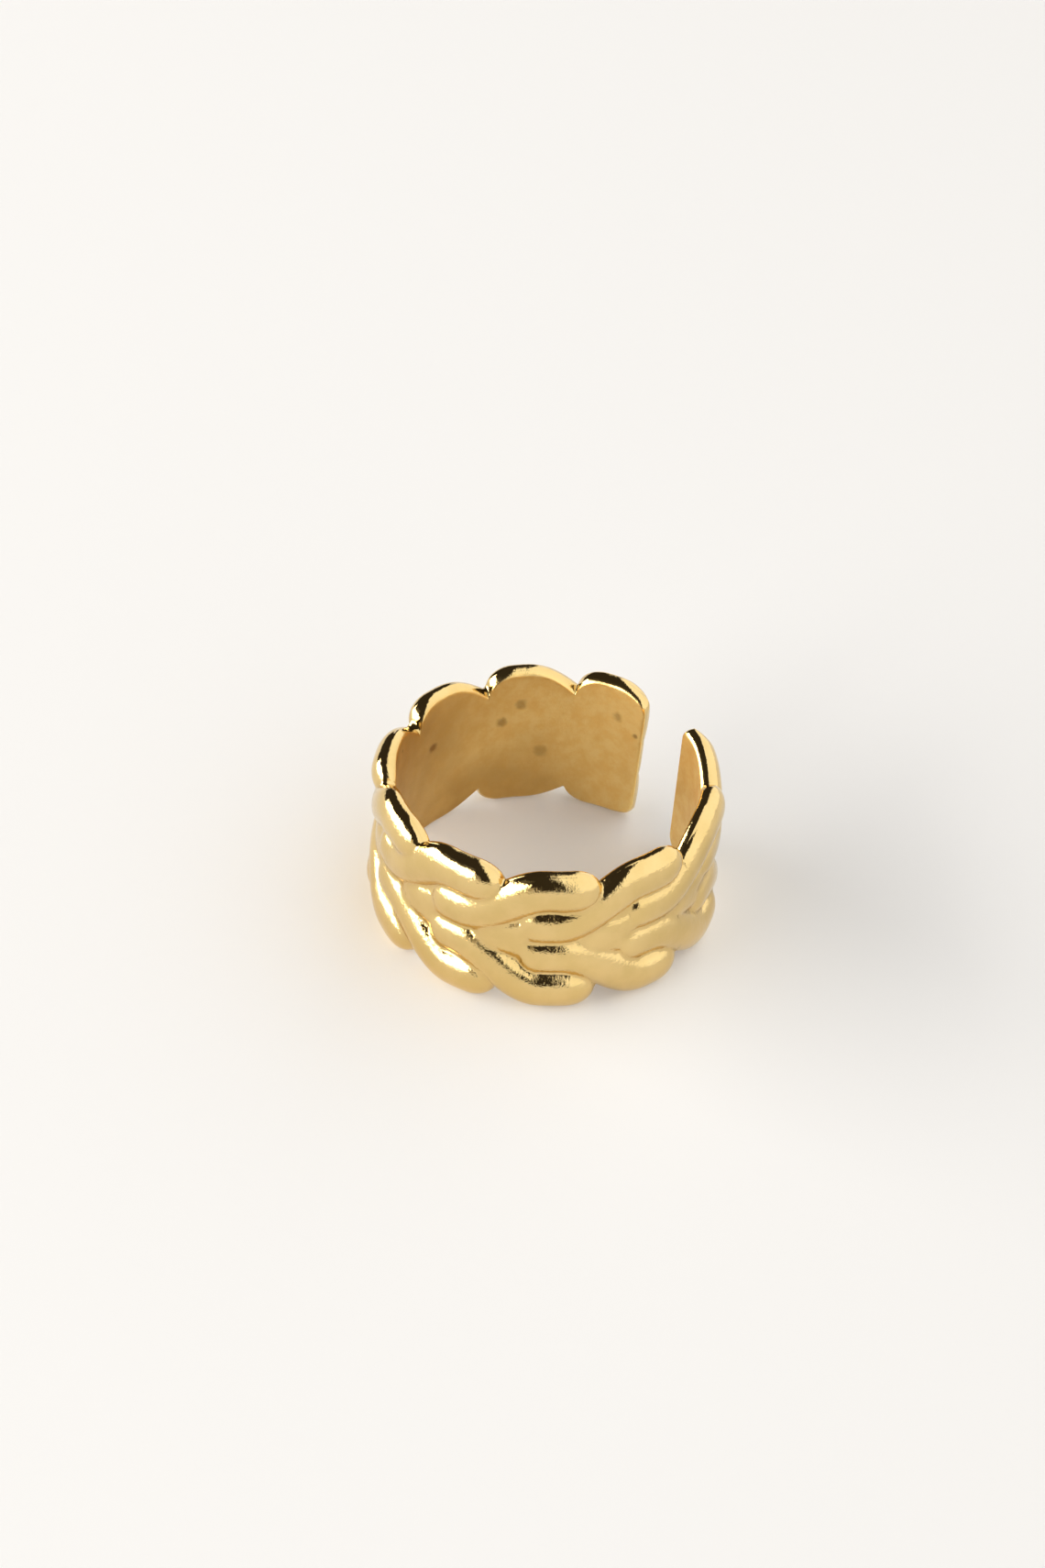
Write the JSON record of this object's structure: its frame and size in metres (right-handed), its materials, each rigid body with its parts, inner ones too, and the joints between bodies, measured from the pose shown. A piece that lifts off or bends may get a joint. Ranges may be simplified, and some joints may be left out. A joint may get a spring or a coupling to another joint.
{
  "type": "chain ring",
  "caption": "Open finger ring: one wide cast band with a raised flat braid, scalloped rims and a plain bore, split by a narrow gap so that it can be sized.",
  "frame": {"origin": "middle of the bore, halfway up the band", "axes": "+Z along the finger, +Y through the middle of the gap, +X to the right; the ring lies on its lower rim"},
  "size_m": [0.0202, 0.0196, 0.0096],
  "materials": {
    "gold_plate": "gold plate, polished on the braid, satin in the bore"
  },
  "bodies": {
    "root": {"braided_band": "gold_plate"}
  },
  "joints": []
}
